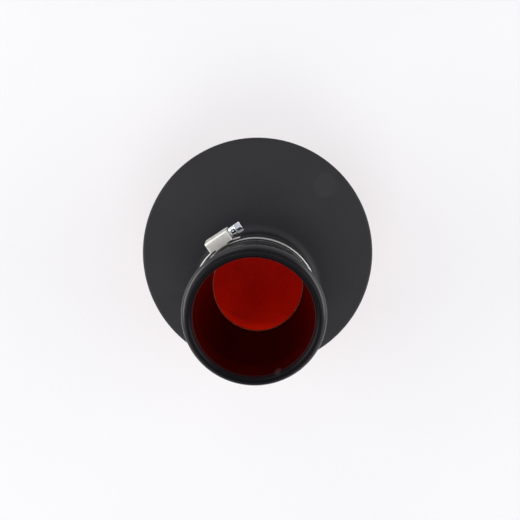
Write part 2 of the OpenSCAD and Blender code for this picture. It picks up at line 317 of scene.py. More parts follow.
def colour_setting(label, about, code):
    """A colour that a user would change."""
    return bpy.props.FloatVectorProperty(name=label, description=about, subtype="COLOR", size=4,
                                         min=0, max=1, default=linear(code))


def length_setting(label, about, default, low, high):
    """A size that a user would change, in metres."""
    return bpy.props.FloatProperty(name=label, description=about, subtype="DISTANCE", unit="LENGTH",
                                   default=default, min=low, max=high)


def power_setting(label, about, default):
    """A lamp's power that a user would change, in watts."""
    return bpy.props.FloatProperty(name=label, description=about, subtype="POWER", unit="POWER",
                                   default=default, min=0, max=100)


class FilterFinish(bpy.types.PropertyGroup):
    """Colours and surface sizes that a user would change."""

    rubber: colour_setting("Rubber", "Colour of the moulded base and neck", "#161416")
    foam: colour_setting("Outer foam", "Colour of the oiled outer foam", "#b3160f")
    fine_foam: colour_setting("Inner foam", "Colour of the fine inner foam", "#d82408")
    glue: colour_setting("Glue", "Colour of the cured contact glue", "#5a1610")
    steel: colour_setting("Band steel", "Colour of the stainless band", "#b2afab")
    zinc: colour_setting("Zinc", "Colour of the plated housing and its saddle", "#f8f4ea")
    blue_zinc: colour_setting("Blue zinc", "Colour of the blue-passivated screw", "#ecf1f3")
    outer_cell: length_setting("Outer cell", "Size of the open cells in the outer foam",
                               0.0017, 0.0005, 0.006)
    inner_cell: length_setting("Inner cell", "Size of the open cells in the inner foam",
                               0.0014, 0.0005, 0.006)
    cell_depth: length_setting("Cell depth", "How deep the open cells are cut into the foam's skin",
                               0.0005, 0.0, 0.002)


class NeckRibs(bpy.types.PropertyGroup):
    """Numbers and sizes of the grip ribs on the neck and of the slots in the band."""

    rib_count: bpy.props.IntProperty(
        name="Ribs", description="Number of fine ribs round the neck", default=116, min=12, max=400)
    rib_height: length_setting("Rib height", "How far a rib stands out of the neck",
                               0.00018, 0.00005, 0.001)
    slot_count: bpy.props.IntProperty(
        name="Slots", description="Number of thread slots in the band", default=16, min=1, max=20)
    slot_pitch: length_setting("Slot pitch", "Spacing of the thread slots along the band",
                               0.0022, 0.0015, 0.004)


class StageLook(bpy.types.PropertyGroup):
    """Backdrop and light."""

    backdrop: colour_setting("Backdrop", "Colour of the floor and backdrop", "#f7f7f8")
    sky: bpy.props.FloatProperty(
        name="Sky", description="Strength of the even light from all round", default=1.12, min=0, max=2)
    top_light: power_setting("Top light", "Power of the soft light overhead", 9.0)
    side_light: power_setting("Side lights", "Power that sets the soft lights at the sides", 4.6)


# ---- Materials ----

def moulded_rubber(finish):
    """Black nitrile rubber from a steel mould: matt and cloudy on the plate, smoother on the neck.

    A pale bloom and fine mould grain on the plate, and a soft sheen round the bead."""
    material, tree, shader, place = new_material("nitrile_rubber_moulded")
    part = add(tree, "ShaderNodeSeparateXYZ", (place,)).outputs
    neck = add(tree, "ShaderNodeMapRange", {"Value": part["Z"], "From Min": (PLATE_TOP + 1.9) * MM,
                                            "From Max": (PLATE_TOP + 10.9) * MM})
    # Cloudy bloom, patches about 40 mm across
    cloud = add(tree, "ShaderNodeTexNoise", {"Vector": place, "Scale": 26.0, "Detail": 4.0,
                                             "Roughness": 0.6})
    bloom = add(tree, "ShaderNodeMapRange", {"Value": cloud, **NOISE, "To Min": 0.8, "To Max": 1.2})
    # Fine specks of mould release, about 1.4 mm apart
    speck = add(tree, "ShaderNodeTexNoise", {"Vector": place, "Scale": 700.0, "Detail": 2.0})
    speck = add(tree, "ShaderNodeMapRange", {"Value": speck, "From Min": 0.35, "From Max": 0.7,
                                             "To Min": 0.9, "To Max": 1.16})
    tint = add(tree, "ShaderNodeMath", (bloom, speck), operation="MULTIPLY")
    # A paler round patch on the plate, about 17 mm across
    near = add(tree, "ShaderNodeVectorMath", (place, Vector(PALE_PATCH) * MM), operation="DISTANCE")
    patch = add(tree, "ShaderNodeMapRange", {"Value": near, "From Min": (PALE_PATCH_R + 1) * MM,
                                            "From Max": (PALE_PATCH_R - 1) * MM,
                                            "To Min": 1.0, "To Max": 1.5})
    tint = add(tree, "ShaderNodeMath", (tint, patch), operation="MULTIPLY")
    skin = add(tree, "ShaderNodeMix", (1.0, finish.rubber[:], tint), **TINT)
    colour = add(tree, "ShaderNodeMix", (neck, skin, linear("#131214")), **COLOUR)
    # Painted shade in the evenly spaced grooves round the neck, and at the same spacing at the bead's
    # root and at the band's front edge. It reaches about 1 mm to each side of a groove's middle, and
    # starts above the clamp
    _, own = neck_coordinates(tree, place)
    groove = add(tree, "ShaderNodeMath", (own["Z"], GROOVES[0] * MM), operation="SUBTRACT")
    groove = add(tree, "ShaderNodeMath", (groove, (GROOVES[1] - GROOVES[0]) / 2 * MM),
                 operation="PINGPONG")
    groove = add(tree, "ShaderNodeMapRange", {"Value": groove, "From Min": 1.4 * MM,
                                              "From Max": 0.7 * MM})
    above = add(tree, "ShaderNodeMath", (own["Z"], (BAND_MID + 4) * MM), operation="GREATER_THAN")
    groove = add(tree, "ShaderNodeMath", (groove, above), operation="MULTIPLY")
    # The grooves' painted shade
    colour = add(tree, "ShaderNodeMix", (groove, colour, linear("#070607")), **COLOUR)
    # Matt on the plate, smoother on the neck, and dull in the grooves
    rough = add(tree, "ShaderNodeMapRange", {"Value": cloud, **NOISE, "To Min": 0.62, "To Max": 0.54})
    rough = add(tree, "ShaderNodeMix", (neck, rough, 0.27))
    rough = add(tree, "ShaderNodeMix", (groove, rough, 0.9))
    # Mould grain of 0.5 mm, drawn coarser than the real 0.1 mm so that it shows
    soft = add(tree, "ShaderNodeMapRange", {"Value": neck, "To Min": 0.4, "To Max": 0.1})
    fill(tree, shader, {"Base Color": colour, "Roughness": rough, "Specular IOR Level": 0.36,
                        "Normal": fine_grain(tree, place, 1900.0, soft, 0.12 * MM)})
    return material


def red_lit_bore_rubber():
    """The same rubber round the lip and down the bore: smooth and deep black at the lip. Down the bore
    its dark red is a painted reflection of the glowing foam, with painted shade on the low side and
    painted highlights where the lip turns into the bore and at the throat's end."""
    material, tree, shader, place = new_material("nitrile_rubber_bore_red_reflection")
    own, part = neck_coordinates(tree, place)
    # The painted red reflection fades out just under the rounded mouth
    red_depth = add(tree, "ShaderNodeMapRange", {"Value": part["Z"], "From Min": (NECK_LEN - 2.5) * MM,
                                           "From Max": (NECK_LEN - 6.5) * MM})
    # Distance from the neck's axis tells the inside from the lip's outer face
    inside = add(tree, "ShaderNodeMapRange", {"Value": from_axis(tree, own),
                                              "From Min": (NOSE_R - 1.1) * MM,
                                              "From Max": (NOSE_R - 1.9) * MM})
    # Streaks in the painted red reflection, about 6 mm apart round the bore and drawn out along it
    red_streak = add(tree, "ShaderNodeMapping", {"Vector": own, "Scale": (1.0, 1.0, 0.12)})
    red_streak = add(tree, "ShaderNodeTexNoise", {"Vector": red_streak, "Scale": 160.0, "Detail": 2.0})
    red_streak = add(tree, "ShaderNodeMapRange", {"Value": red_streak, **NOISE, "To Min": 0.8, "To Max": 1.2})
    # Painted shade: the red, and the highlight below, are darker on the low side, towards which the neck
    # leans
    low_side_shade = add(tree, "ShaderNodeMapRange", {"Value": part["Y"], "From Min": -0.9 * BORE_R * MM,
                                             "From Max": 0.0, "To Min": 0.35, "To Max": 1.0})
    red_streak = add(tree, "ShaderNodeMath", (red_streak, low_side_shade), operation="MULTIPLY")
    # Painted red reflection of the glowing foam, put into the bore's colour
    wet_tone_and_red_reflection = add(tree, "ShaderNodeMix", (1.0, linear("#200302"), red_streak), **TINT)
    dark = add(tree, "ShaderNodeMix", (red_depth, linear("#0b0a0c"), wet_tone_and_red_reflection), **COLOUR)
    # A painted highlight: a paler line where the lip turns into the bore
    lip_highlight = add(tree, "ShaderNodeMapRange", {"Value": part["Z"], "From Min": (NECK_LEN - 6.5) * MM,
                                            "From Max": (NECK_LEN - 1.8) * MM})
    lip_highlight = add(tree, "ShaderNodeValToRGB", (lip_highlight,),
               stops=[(0.0, BLACK), (0.45, WHITE), (0.75, WHITE), (1.0, BLACK)])
    lip_highlight = add(tree, "ShaderNodeMath", (lip_highlight, inside), operation="MULTIPLY")
    lip_highlight = add(tree, "ShaderNodeMath", (lip_highlight, low_side_shade), operation="MULTIPLY")
    with_highlight = add(tree, "ShaderNodeMix", (lip_highlight, dark, linear("#341d1f")), **COLOUR)
    # A paler fleck, about 4 mm wide, drawn out down the bore from the mouth
    fleck = add(tree, "ShaderNodeVectorMath", (own, Vector(PALE_FLECK) * MM), operation="SUBTRACT")
    fleck = add(tree, "ShaderNodeVectorMath", (fleck, (1, 1, 0.5)), operation="MULTIPLY")
    fleck = add(tree, "ShaderNodeVectorMath", (fleck,), operation="LENGTH")
    fleck = add(tree, "ShaderNodeMapRange", {"Value": fleck, "From Min": 3.2 * MM,
                                             "From Max": 1.4 * MM, "To Max": 0.5})
    with_highlight = add(tree, "ShaderNodeMix", (fleck, with_highlight, linear("#40363a")), **COLOUR)
    # A painted highlight: a pale rim at the throat's end
    height = add(tree, "ShaderNodeSeparateXYZ", (place,)).outputs["Z"]
    rim = add(tree, "ShaderNodeMapRange", {"Value": height,
                                           "From Min": (PLATE_TOP - STUB_DOWN + 0.7) * MM,
                                           "From Max": (PLATE_TOP - STUB_DOWN + 0.4) * MM})
    colour = add(tree, "ShaderNodeMix", (rim, with_highlight, linear("#d8604e")), **COLOUR)
    rough = add(tree, "ShaderNodeMapRange", {"Value": red_depth, "To Min": 0.3, "To Max": 0.25})
    fill(tree, shader, {"Base Color": colour, "Roughness": rough, "Specular IOR Level": 0.06,
                        "Normal": fine_grain(tree, place, 1400.0, 0.06, 0.1 * MM)})
    return material


def open_cell_foam(name, colour, cell, floors, glow):
    """Reticulated polyurethane foam, slabbed and cut, soaked in red filter oil.

    Open cells between brighter struts, whose dark floors are painted shade. floors is the floors' share
    of the colour's brightness, and glow is the strength of a painted glow that stands in for the light
    that soaks through the sheet."""
    material, tree, shader, place = new_material(name)
    edges = add(tree, "ShaderNodeTexVoronoi", {"Vector": place, "Scale": 1 / cell},
                feature="DISTANCE_TO_EDGE")
    strut = add(tree, "ShaderNodeMapRange", {"Value": edges, "From Min": 0.2, "From Max": 0.03})
    cells = add(tree, "ShaderNodeTexVoronoi", {"Vector": place, "Scale": 1 / cell})
    # A rag of skin is left in about half the cells, so they stay paler
    own = add(tree, "ShaderNodeSeparateColor", (cells.outputs["Color"],))
    shut = add(tree, "ShaderNodeMapRange", {"Value": own, "From Min": 0.5, "From Max": 0.95,
                                            "To Max": 0.4})
    lit = add(tree, "ShaderNodeMath", (strut, shut), operation="MAXIMUM")
    # Wetter and drier patches, about 30 mm across
    wet_tone_and_red_reflection = add(tree, "ShaderNodeTexNoise", {"Vector": place, "Scale": 34.0, "Detail": 3.0})
    wet_tone_and_red_reflection = add(tree, "ShaderNodeMapRange", {"Value": wet_tone_and_red_reflection, **NOISE, "To Min": 0.8, "To Max": 1.12})
    # Painted shade: the cell floors are darker than the struts
    tone = add(tree, "ShaderNodeValToRGB", (lit,),
               stops=[(0.0, darker(colour, floors)), (0.5, darker(colour, (1 + floors) / 2)),
                      (1.0, colour)])
    shade = add(tree, "ShaderNodeMix", (1.0, tone, wet_tone_and_red_reflection), **TINT)
    fine = add(tree, "ShaderNodeTexNoise", {"Vector": place, "Scale": 1.6 / cell, "Detail": 2.0})
    relief = add(tree, "ShaderNodeMath", (lit, fine), operation="ADD")
    bump = add(tree, "ShaderNodeBump", {"Strength": 0.5, "Distance": 0.25 * cell, "Height": relief})
    # The foam's emission is a painted glow
    fill(tree, shader, {"Base Color": shade, "Normal": bump, "Roughness": 0.62,
                        "Specular IOR Level": 0.12, "Emission Strength": glow})
    if glow:
        # The painted glow is stronger in the side wall than in the end, and strongest near the plate,
        # where more light soaks in
        side = add(tree, "ShaderNodeMapRange", {"Value": from_axis(tree, place), "From Min": 25 * MM,
                                                "From Max": 56 * MM, "To Min": 0.12, "To Max": 1.1})
        height = add(tree, "ShaderNodeSeparateXYZ", (place,)).outputs["Z"]
        high = add(tree, "ShaderNodeMapRange", {"Value": height, "From Min": 20 * MM,
                                                "From Max": 110 * MM, "To Max": 1.7})
        share = add(tree, "ShaderNodeMath", (side, high), operation="ADD")
        fill(tree, shader, {"Emission Color": add(tree, "ShaderNodeMix", (1.0, shade, share), **TINT)})
    return material


def contact_glue(finish):
    """Cured contact adhesive, squeezed out of a joint: glossy, darker than the foam, a little lumpy."""
    material, tree, shader, place = new_material("contact_adhesive_cured")
    # Lumps about 2.4 mm across
    lump = add(tree, "ShaderNodeTexNoise", {"Vector": place, "Scale": 420.0, "Detail": 2.0})
    tone = add(tree, "ShaderNodeValToRGB", (lump,),
               stops=[(0.3, darker(finish.glue, 0.6)), (0.7, finish.glue)])
    bump = add(tree, "ShaderNodeBump", {"Strength": 0.5, "Distance": 0.2 * MM, "Height": lump})
    fill(tree, shader, {"Base Color": tone, "Normal": bump, "Roughness": 0.32})
    return material


def rolled_steel(finish):
    """Rolled stainless strip: long fine scratches run along the band and stretch its highlights."""
    material, tree, shader, along = new_material("stainless_steel_rolled", uv_map="strip")
    # Scratches about 12 mm long and 0.3 mm apart, drawn coarser than the real ones so that they show
    lines = add(tree, "ShaderNodeMapping", {"Vector": along, "Scale": (80.0, 3200.0, 1.0)})
    lines = add(tree, "ShaderNodeTexNoise", {"Vector": lines, "Scale": 1.0, "Detail": 3.0})
    tone = add(tree, "ShaderNodeValToRGB", (lines,),
               stops=[(0.25, darker(finish.steel, 0.88)), (0.7, finish.steel)])
    rough = add(tree, "ShaderNodeMapRange", {"Value": lines, **NOISE, "To Min": 0.2, "To Max": 0.27})
    # The sheared front edge is duller than the rolled faces; the map's Y grows towards it
    across = add(tree, "ShaderNodeSeparateXYZ", (along,)).outputs["Y"]
    edge = add(tree, "ShaderNodeMapRange", {"Value": across, "From Min": 67.2 * MM,
                                            "From Max": 67.8 * MM})
    rough = add(tree, "ShaderNodeMix", (edge, rough, 0.5))
    bump = add(tree, "ShaderNodeBump", {"Strength": 0.04, "Distance": 0.03 * MM, "Height": lines})
    fill(tree, shader, {"Base Color": tone, "Roughness": rough, "Normal": bump, "Metallic": 1.0})
    return material


def plated_zinc(name, colour, rough_from, rough_to, metal):
    """Zinc plate on pressed or turned steel: satin to bright, with faint cloudy patches and tiny pits."""
    material, tree, shader, place = new_material(name)
    # Patches about 4 mm across
    cloud = add(tree, "ShaderNodeTexNoise", {"Vector": place, "Scale": 260.0, "Detail": 4.0,
                                             "Roughness": 0.6})
    tone = add(tree, "ShaderNodeValToRGB", (cloud,),
               stops=[(0.25, darker(colour, 0.8)), (0.75, colour)])
    rough = add(tree, "ShaderNodeMapRange", {"Value": cloud, **NOISE, "To Min": rough_from,
                                             "To Max": rough_to})
    # Pits of 0.3 mm, drawn coarser than the real ones so that they show
    fill(tree, shader, {"Base Color": tone, "Roughness": rough, "Metallic": metal,
                        "Normal": fine_grain(tree, place, 3200.0, 0.05, 0.03 * MM)})
    return material


# ---- Rubber base ----

SEGMENTS = 300
ANGLES = full_turn(SEGMENTS)
# A groove 1.4 mm wide and 0.5 mm deep with rounded edges: place along the neck and depth
GROOVE_SECTION = ((-0.85, 0), (-0.66, 0.1), (-0.55, 0.38), (-0.4, 0.5),
                  (0.4, 0.5), (0.55, 0.38), (0.66, 0.1), (0.85, 0))


def neck_r(z):
    """Radius of the neck's outer face at a place along its axis."""
    return NECK_ROOT_R + (NECK_SEAT_R - NECK_ROOT_R) * z / BEAD_Z


def throat_r(z):
    """Radius of the air's way at a place along the neck's axis."""
    return THROAT_R + THROAT_SLOPE * z


def stub_r(z):
    """Radius of the throat stub's outer face at a place along the neck's axis."""
    return throat_r(z) + STUB_WALL


def leaning(radius, z, turn=ANGLES):
    """A ring square to the neck's axis, in the row frame, in millimetres."""
    return placed(ring(radius, turn, z), NECK_PLACE) / MM


def level(radius, height, centre_y=-NECK_OFFSET):
    """A ring level with the plate, at a height above the plate's top face."""
    return ring(radius, ANGLES, PLATE_TOP + height) + (0, centre_y, 0)


def on_neck(y, height):
    """A level plane's y and height, from the middle of the neck's root, as the neck's own y and z."""
    return (y * math.cos(NECK_TILT) + height * math.sin(NECK_TILT),
            height * math.cos(NECK_TILT) - y * math.sin(NECK_TILT))


def cone_cut(radius_at, height):
    """Where a level plane cuts a leaning cone, for each angle round the middle of the neck's root.

    Gives the distance from that middle, and the angle and the place along the neck's own axis."""
    reach = np.full(SEGMENTS, radius_at(0.0))
    # Each round brings the distance closer to the cone, and this many settle it
    for _ in range(60):
        own_y, own_z = on_neck(reach * np.sin(ANGLES), height)
        reach = reach * radius_at(own_z) / np.hypot(reach * np.cos(ANGLES), own_y)
    own_y, own_z = on_neck(reach * np.sin(ANGLES), height)
    turn = ANGLES + (np.arctan2(own_y, reach * np.cos(ANGLES)) - ANGLES + np.pi) % (2 * np.pi) - np.pi
    return reach, turn, own_z


def top_rings():
    """The plate's top face and the fillet that runs up into the neck."""
    foot = FILLET_IN_R + FILLET_R
    blend_w, blend_h = 1.2, 0.3
    rings = between(level(PLATE_R - PLATE_EDGE_R, 0, 0), level(foot + 0.6, 0), np.linspace(0, 1, 26))
    for angle in np.linspace(0.04, 1, 16) * math.pi / 2:
        height = FILLET_R * (1 - math.cos(angle))
        flank = foot - FILLET_R * math.sin(angle)
        neck = cone_cut(neck_r, height)[0]
        # The crease where the fillet meets the neck's cone is filled a little
        near = np.clip(1 - np.abs(neck - flank) / blend_w, 0, 1)
        rings.append(level(np.maximum(neck, flank) + blend_h * near ** 2, height))
    return rings


def neck_rings():
    """The neck from the fillet's level top up to rings that stand square to its axis."""
    _, turn, z = cone_cut(neck_r, FILLET_R + 1)
    rings = []
    for t in np.linspace(0, 1, 10):
        z_now = z + (BAND_MID - z) * t
        rings.append(leaning(neck_r(z_now), z_now, turn + (ANGLES - turn) * t))
    return rings


def neck_profile():
    """Radius and place along the neck of its plain foot, its grooves and its bead."""
    points = [(neck_r(z), z) for z in np.linspace(BAND_MID + 2, BAND_MID + 14, 7)]
    for middle in GROOVES:
        points += [(neck_r(middle + s) - deep, middle + s) for s, deep in GROOVE_SECTION]
        points += [(neck_r(middle + s), middle + s) for s in (3.0, 5.2, 7.4)]
    points += [(neck_r(BEAD_Z - down) + out, BEAD_Z - down) for down, out in ((4.5, 0.02), (4.1, 0.12))]
    return points + [(BEAD_MID_R + BEAD_R * math.cos(a), BEAD_Z + BEAD_R * math.sin(a))
                     for a in np.radians(np.linspace(-88, 78, 22))]


def lip_profile():
    """Radius and place along the neck of the lip's outer face, its rounded mouth and the bore."""
    points = [(NOSE_R - back, NECK_LEN - down) for back, down in (
        (0.05, 4.55), (0, 4.2), (0, 2.5), (0, 0.45), (0.04, 0.2), (0.16, 0.06), (0.36, 0.01))]
    points += [(NOSE_R + NOSE_WALL * math.cos(a), BORE_TOP + NOSE_WALL * math.sin(a))
               for a in np.radians(np.linspace(96, 180, 18))]
    return points + [(BORE_R, z) for z in np.linspace(BORE_TOP - 1, BORE_BOTTOM, 12)]


def throat_rings():
    """The air's way from the bore's foot down to just above the stub's level end."""
    _, turn, z = cone_cut(throat_r, 0.5 - STUB_DOWN)
    rings = []
    for t in np.linspace(0.04, 1, 26):
        z_now = BORE_BOTTOM + (z - BORE_BOTTOM) * t
        rings.append(leaning(throat_r(z_now), z_now, ANGLES + (turn - ANGLES) * t))
    return rings


def under_rings():
    """The stub's rounded end and outer face, the plate's underside and its edge."""
    inside, outside = cone_cut(throat_r, -STUB_DOWN)[0], cone_cut(stub_r, -STUB_DOWN)[0]
    rings = [level(radius, height - STUB_DOWN) for radius, height in (
        (inside - 0.5, 0.36), (inside - 0.62, 0.2), (inside - 0.5, 0.04), (inside + 0.5, 0),
        ((inside + outside) / 2, 0), (outside - 0.5, 0), (outside - 0.12, 0.14))]
    rings += [level(cone_cut(stub_r, h)[0], h) for h in np.linspace(0.5 - STUB_DOWN, -PLATE_T, 8)]
    rings += between(rings[-1], level(PLATE_R - 0.4, -PLATE_T, 0), np.linspace(0.06, 1, 14))
    rings += [level(PLATE_R - back, up - PLATE_T, 0) for back, up in ((0.1, 0.1), (0, 0.4), (0, 2))]
    return rings + [level(PLATE_R - PLATE_EDGE_R * (1 - math.cos(a)),
                          -PLATE_EDGE_R * (1 - math.sin(a)), 0)
                    for a in np.linspace(0, 1, 8)[:-1] * math.pi / 2]


class AIRFILTER_OT_base(bpy.types.Operator):
    """Build the moulded rubber base with its leaning neck"""

    bl_idname = "airfilter.base"
    bl_label = "Rubber base"

    def execute(self, context):
        dry = top_rings() + neck_rings() + [leaning(r, z) for r, z in neck_profile()]
        lip_and_bore = [leaning(r, z) for r, z in lip_profile()] + throat_rings()
        mesh = loft("rubber_moulding", dry + lip_and_bore + under_rings(), ends="join")
        base = finished("rubber_moulding", mesh, moulded_rubber(context.scene.filter_finish), "filter",
                        ["rubber_base"], angle=40)
        base.data.materials.append(red_lit_bore_rubber())
        for face in base.data.polygons[len(dry) * SEGMENTS:len(dry + lip_and_bore) * SEGMENTS]:
            face.material_index = 1
        return {"FINISHED"}


def rib_tree(sizes, material):
    """A tree that sets ribs round a circle, each leaning with the neck's taper."""
    tree, start = new_tree("grip_ribs", sizes)
    circle = add(tree, "GeometryNodeMeshCircle", {"Vertices": start["Count"],
                                                  "Radius": start["Radius"]})
    size = add(tree, "ShaderNodeCombineXYZ", (start["Height"], start["Width"], start["Length"]))
    rib = add(tree, "GeometryNodeMeshUVSphere", {"Segments": 6, "Rings": 6, "Radius": 0.5})
    rib = add(tree, "GeometryNodeTransform", {"Geometry": rib, "Scale": size})
    where = add(tree, "GeometryNodeInputPosition")
    facing = add(tree, "FunctionNodeAlignRotationToVector", {"Vector": where}, axis="X")
    lean = add(tree, "ShaderNodeCombineXYZ", {"Y": start["Lean"]})
    lean = add(tree, "FunctionNodeEulerToRotation", (lean,))
    turn = add(tree, "FunctionNodeRotateRotation", {"Rotation": facing, "Rotate By": lean},
               rotation_space="LOCAL")
    row = add(tree, "GeometryNodeInstanceOnPoints", {"Points": circle, "Instance": rib,
                                                     "Rotation": turn})
    return close_tree(tree, row, material)


class AIRFILTER_OT_ribs(bpy.types.Operator):
    """Set the fine grip ribs round the neck, between the clamp and the first groove"""

    bl_idname = "airfilter.ribs"
    bl_label = "Grip ribs"

    def execute(self, context):
        ribs = context.scene.neck_ribs
        rubber = bpy.data.materials["nitrile_rubber_moulded"]
        # Half of each rib lies inside the neck
        sizes = {"Count": ribs.rib_count, "Radius": neck_r(RIB_MID) * MM, "Length": RIB_LEN * MM,
                 "Width": RIB_W * MM, "Height": ribs.rib_height * 2,
                 "Lean": math.atan((NECK_SEAT_R - NECK_ROOT_R) / BEAD_Z)}
        mesh = grown("grip_ribs", bpy.data.meshes.new("grip_ribs"), rib_tree(sizes, rubber), sizes)
        mesh.transform(NECK_PLACE @ Matrix.Translation((0, 0, RIB_MID * MM)))
        finished("grip_ribs", mesh, rubber, "filter", angle=60)
        return {"FINISHED"}


# ---- Foam element ----

def cell_tree(name, sizes, material):
    """A tree that sinks open cells into a foam skin, and lets the skin waver a little."""
    tree, start = new_tree(name, sizes)
    where = add(tree, "GeometryNodeInputPosition")
    scale = add(tree, "ShaderNodeMath", (1.0, start["Cell"]), operation="DIVIDE")
    cells = add(tree, "ShaderNodeTexVoronoi", {"Vector": where, "Scale": scale},
                feature="DISTANCE_TO_EDGE")
    sunk = add(tree, "ShaderNodeMapRange", {"Value": cells, "From Min": 0.03, "From Max": 0.25})
    sunk = add(tree, "ShaderNodeMath", (sunk, start["Depth"]), operation="MULTIPLY")
    # Slow waves about 36 mm long
    wave = add(tree, "ShaderNodeTexNoise", {"Vector": where, "Scale": 28.0, "Detail": 1.0})
    wave = add(tree, "ShaderNodeMath", (wave, start["Waver"]), operation="MULTIPLY")
    down = add(tree, "ShaderNodeMath", (sunk, wave), operation="ADD")
    down = add(tree, "ShaderNodeMath", (down, -1.0), operation="MULTIPLY")
    normal = add(tree, "GeometryNodeInputNormal")
    offset = add(tree, "ShaderNodeVectorMath", (normal, down), operation="SCALE")
    moved = add(tree, "GeometryNodeSetPosition", {"Geometry": start["Geometry"], "Offset": offset})
    return close_tree(tree, moved, material)


def sleeve_rings(end_r, top_r, wall, low, seam, turns, rows, fine_inside):
    """Rings of a rolled sleeve, from one lip of its seam round to the other.

    seam is the angle that it faces. The skin dips towards it. The face that shows, which is the
    outer one unless fine_inside is true, has that number of rows, and the hidden one few."""
    edge, chamfer, hidden_rows = 1.6, 0.6, 12
    dip_deep, dip_w, out_of_reach = 0.9, 1.6, 99
    fine = np.linspace(low + edge, FOAM_H - 0.2, rows)
    few = np.linspace(low + edge, FOAM_H - 0.2, hidden_rows)
    outer_rows, inner_rows = (few, fine) if fine_inside else (fine, few)
    base = end_r + FOAM_SLOPE * low
    # Radius, height and side: 1 on the outer face, -1 on the inner one, 0 on the flat ends
    profile = [(base - wall, low + edge, -1), (base - wall + 0.5, low + 0.3, -1),
               (base - wall + edge, low, 0)]
    profile += [(base - edge * (1 - math.sin(a)), low + edge * (1 - math.cos(a)), 1)
                for a in np.radians((0, 22, 45, 67))]
    profile += [(end_r + FOAM_SLOPE * z, z, 1) for z in outer_rows]
    profile += [(top_r - chamfer, FOAM_H, 0), (top_r - wall + chamfer, FOAM_H, 0)]
    profile += [(end_r + FOAM_SLOPE * z - wall, z, -1) for z in inner_rows[::-1]]
    plain_r, height, face = np.array(profile).T
    bend = np.arcsin(SEAM_W / 2 / plain_r)
    rings = []
    for t in np.linspace(0, 1, turns):
        angle = seam + bend + (2 * np.pi - 2 * bend) * t
        # Distance from the seam's middle, on the half of the sleeve that it faces
        away = np.abs(plain_r * np.sin(angle - seam)) + out_of_reach * (np.cos(angle - seam) < 0)
        dip = dip_deep * np.exp(-((away - SEAM_W / 2) / dip_w) ** 2) * face
        rings.append(ring(plain_r - dip, angle, height))
    return rings


def disc_rings(end_r, wall, low, thick, rows):
    """Rings of a foam disc inside its sleeve, from the middle of its underside to that of its top.

    The small hole at each middle is closed by the loft's caps."""
    middle_r, edge, bevel = 0.01, 0.4, 0.1
    high = low + thick
    rim_low = end_r - wall + FOAM_SLOPE * low
    rim_high = rim_low + FOAM_SLOPE * thick
    profile = [(max(r, middle_r), low) for r in np.linspace(0.0, rim_low - edge, rows)]
    profile += [(rim_low - bevel, low + bevel), (rim_low, low + edge)]
    profile += [(rim_high, high - edge), (rim_high - bevel, high - bevel)]
    profile += [(max(r, middle_r), high) for r in np.linspace(rim_high - edge, 0.0, rows)]
    return [ring(r, full_turn(320), z) for r, z in profile]


class AIRFILTER_OT_foam(bpy.types.Operator):
    """Roll the two foam sleeves and cut their end discs"""

    bl_idname = "airfilter.foam"
    bl_label = "Foam element"

    def execute(self, context):
        finish = context.scene.filter_finish
        coarse = open_cell_foam("polyurethane_foam_oiled_coarse", finish.foam, finish.outer_cell,
                                floors=0.42, glow=0.0)
        fine = open_cell_foam("polyurethane_foam_oiled_fine", finish.fine_foam, finish.inner_cell,
                              floors=0.78, glow=0.14)
        pieces = (
            ("foam_sleeve_outer", "foam_outer_sleeve", "outer_foam",
             sleeve_rings(FOAM_END_R, FOAM_TOP_R, OUTER_T, 0, seam=math.pi, turns=620, rows=138,
                          fine_inside=False)),
            ("foam_sleeve_inner", "foam_inner_sleeve", "inner_foam",
             sleeve_rings(INNER_END_R, INNER_TOP_R, INNER_T, INNER_LOW, seam=0.0, turns=420, rows=110,
                          fine_inside=True)),
            ("foam_disc_outer", "foam_outer_end", "outer_foam",
             disc_rings(FOAM_END_R, OUTER_T, 0, OUTER_T, rows=56)),
            ("foam_disc_inner", "foam_inner_end", "inner_foam",
             disc_rings(INNER_END_R, INNER_T, INNER_LOW, INNER_T, rows=60)))
        for name, node, slot, rings in pieces:
            outer = slot == "outer_foam"
            material, cell = (coarse, finish.outer_cell) if outer else (fine, finish.inner_cell)
            sizes = {"Cell": cell, "Depth": finish.cell_depth, "Waver": SKIN_WAVER * MM}
            mesh = grown(name, loft(name, rings), cell_tree(name + "_cells", sizes, material), sizes)
            piece = finished(name, mesh, material, "filter", [node], angle=80)
        return {"FINISHED"}


def plate_glue_rings():
    """The glue under the plate, whose squeezed-out bead wavers a little in and out."""
    turn = full_turn(360)
    wave = 0.22 * np.sin(17 * turn + 0.6) + 0.16 * np.sin(43 * turn) + 0.1 * np.sin(91 * turn + 2)
    inner_r = FOAM_TOP_R - OUTER_T - INNER_T
    # Radius, height above the foam's top and share of the waver
    section = ((inner_r, 0.05, 0.6), (inner_r, 0.55, 0.6),
               (FOAM_TOP_R - 0.75, GLUE_T, 1), (FOAM_TOP_R - 0.45, 0.45, 1),
               (FOAM_TOP_R - 0.45, 0.15, 1), (FOAM_TOP_R - 0.75, 0.0, 1))
    return [ring(radius + wave * share, turn, FOAM_H + up) for radius, up, share in section]


def seam_glue_rings(side, end_r, wall, low):
    """The glue in a sleeve's seam, in level slices that differ a little.

    side is 1 for a seam at +X and -1 for one at -X."""
    rings, slices = [], 121
    for i, z in enumerate(np.linspace(low, FOAM_H, slices)):
        skin = end_r + FOAM_SLOPE * z
        half = SEAM_W / 2 * (0.9 + 0.1 * math.sin(2.1 * i) * math.cos(0.7 * i))
        face = skin - 0.75 + 0.2 * math.sin(0.9 * i) * math.sin(0.31 * i)
        back = skin - wall + 0.75 + 0.15 * math.sin(0.8 * i)
        outline = [(back, -half), (face, -half), (face + 0.22, -half / 2), (face + 0.28, 0),
                   (face + 0.22, half / 2), (face, half), (back, half), (back - 0.2, 0)]
        rings.append([(side * x, side * y, z) for x, y in outline])
    return rings


